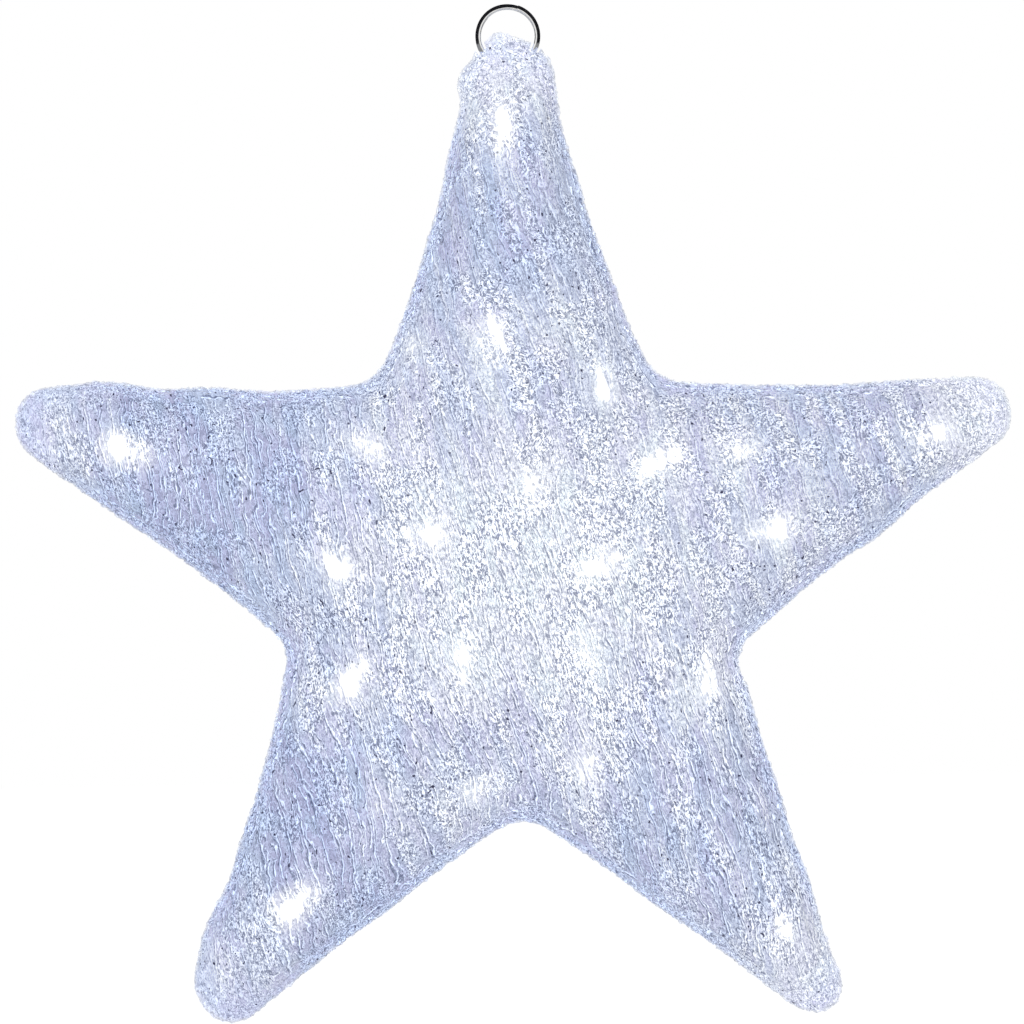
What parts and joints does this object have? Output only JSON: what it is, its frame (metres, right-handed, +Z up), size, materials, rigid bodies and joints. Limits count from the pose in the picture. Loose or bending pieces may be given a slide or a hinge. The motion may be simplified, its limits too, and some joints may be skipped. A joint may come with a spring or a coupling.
{
  "type": "led christmas star",
  "caption": "Puffy five-pointed star of clear ice-like acrylic, lit from inside by a string of small white lamps, hung on a split ring through its top point.",
  "frame": {"origin": "inside the top of the hanging ring, where a hook carries the star", "axes": "+X to the right of the star seen from the front, +Y towards its back, +Z up"},
  "size_m": [0.3812, 0.0673, 0.3903],
  "materials": {
    "ice_acrylic": "clear acrylic strands, frosted by their ripples",
    "seam_acrylic": "clear acrylic bead",
    "nickel_plate": "bright nickel plate",
    "clear_cable": "clear cable sheath",
    "gland_plastic": "satin natural plastic",
    "clear_sleeve": "clear soft plastic sleeve",
    "lit_lens": "clear lens, lit cold white"
  },
  "bodies": {
    "ring": {"hanging_ring": "nickel_plate"},
    "star": {"front_shell": "ice_acrylic", "rear_shell": "ice_acrylic", "seam_strip": "seam_acrylic", "string_cable": "clear_cable", "cable_gland": "gland_plastic", "gland_nut": "gland_plastic", "led_sleeve_01": "clear_sleeve", "led_bulb_01": "lit_lens", "led_sleeve_02": "clear_sleeve", "led_bulb_02": "lit_lens", "led_sleeve_03": "clear_sleeve", "led_bulb_03": "lit_lens", "led_sleeve_04": "clear_sleeve", "led_bulb_04": "lit_lens", "led_sleeve_05": "clear_sleeve", "led_bulb_05": "lit_lens", "led_sleeve_06": "clear_sleeve", "led_bulb_06": "lit_lens", "led_sleeve_07": "clear_sleeve", "led_bulb_07": "lit_lens", "led_sleeve_08": "clear_sleeve", "led_bulb_08": "lit_lens", "led_sleeve_09": "clear_sleeve", "led_bulb_09": "lit_lens", "led_sleeve_10": "clear_sleeve", "led_bulb_10": "lit_lens", "led_sleeve_11": "clear_sleeve", "led_bulb_11": "lit_lens", "led_sleeve_12": "clear_sleeve", "led_bulb_12": "lit_lens", "led_sleeve_13": "clear_sleeve", "led_bulb_13": "lit_lens", "led_sleeve_14": "clear_sleeve", "led_bulb_14": "lit_lens", "led_sleeve_15": "clear_sleeve", "led_bulb_15": "lit_lens", "led_sleeve_16": "clear_sleeve", "led_bulb_16": "lit_lens", "led_sleeve_17": "clear_sleeve", "led_bulb_17": "lit_lens", "led_sleeve_18": "clear_sleeve", "led_bulb_18": "lit_lens", "led_sleeve_19": "clear_sleeve", "led_bulb_19": "lit_lens", "led_sleeve_20": "clear_sleeve", "led_bulb_20": "lit_lens", "led_sleeve_21": "clear_sleeve", "led_bulb_21": "lit_lens", "led_sleeve_22": "clear_sleeve", "led_bulb_22": "lit_lens", "led_sleeve_23": "clear_sleeve", "led_bulb_23": "lit_lens", "led_sleeve_24": "clear_sleeve", "led_bulb_24": "lit_lens"}
  },
  "joints": [
    {"name": "ring_swing", "type": "hinge", "parent": "ring", "child": "star", "pos_m": [0, 0, -0.0155], "axis": [1, 0, 0], "range_deg": [-35, 35]}
  ]
}
